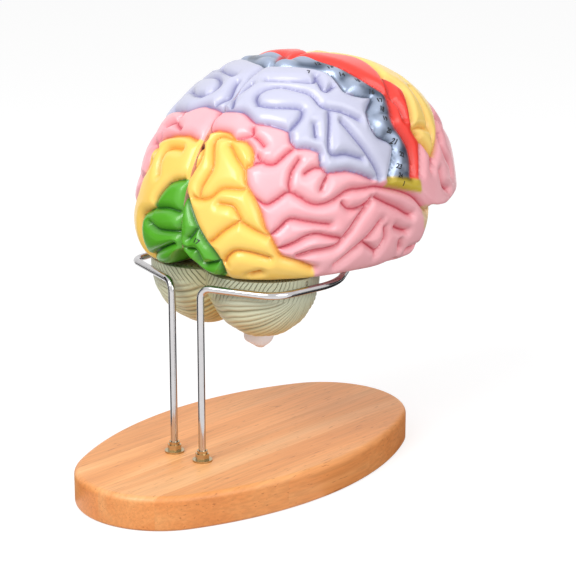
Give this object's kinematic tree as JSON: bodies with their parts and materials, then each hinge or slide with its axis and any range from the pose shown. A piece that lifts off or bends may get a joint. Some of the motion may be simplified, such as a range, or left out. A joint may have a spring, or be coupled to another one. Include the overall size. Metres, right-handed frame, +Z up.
{
  "type": "anatomical brain model on a stand",
  "caption": "Enlarged anatomical brain model in coloured regions, carried by a bent chrome ring stand on an oval wooden board; the hemispheres slide apart.",
  "frame": {"origin": "centre of the wooden board's underside", "axes": "+Z up, +X along the board's long axis towards the frontal lobes, +Y towards the brain's left side"},
  "size_m": [0.3899, 0.209, 0.3429],
  "materials": {
    "board_wood": "satin lacquer",
    "rod_chrome": "polished",
    "fastener_nickel": "nickel plated",
    "cortex_right": "painted in regions, satin gloss",
    "cortex_left": "painted in regions, satin gloss",
    "cerebellum_sage": "painted sage green",
    "brainstem_pink": "painted pale pink",
    "peg_white": "plain"
  },
  "bodies": {
    "stand": {"base_board": "board_wood", "stand_wire": "rod_chrome", "rod_washers": "fastener_nickel", "rod_nuts": "fastener_nickel", "rod_collars": "fastener_nickel", "brainstem": "brainstem_pink", "hemisphere_pegs": "peg_white", "cerebellum_peg": "peg_white", "cerebellum": "cerebellum_sage"},
    "right_half": {"right_hemisphere": "cortex_right"},
    "left_half": {"left_hemisphere": "cortex_left"}
  },
  "joints": [
    {"name": "right_pull_off", "type": "slide", "parent": "stand", "child": "right_half", "axis": [0, -1, 0], "range_m": [0, 0.06]},
    {"name": "left_pull_off", "type": "slide", "parent": "stand", "child": "left_half", "axis": [0, 1, 0], "range_m": [0, 0.06]}
  ]
}
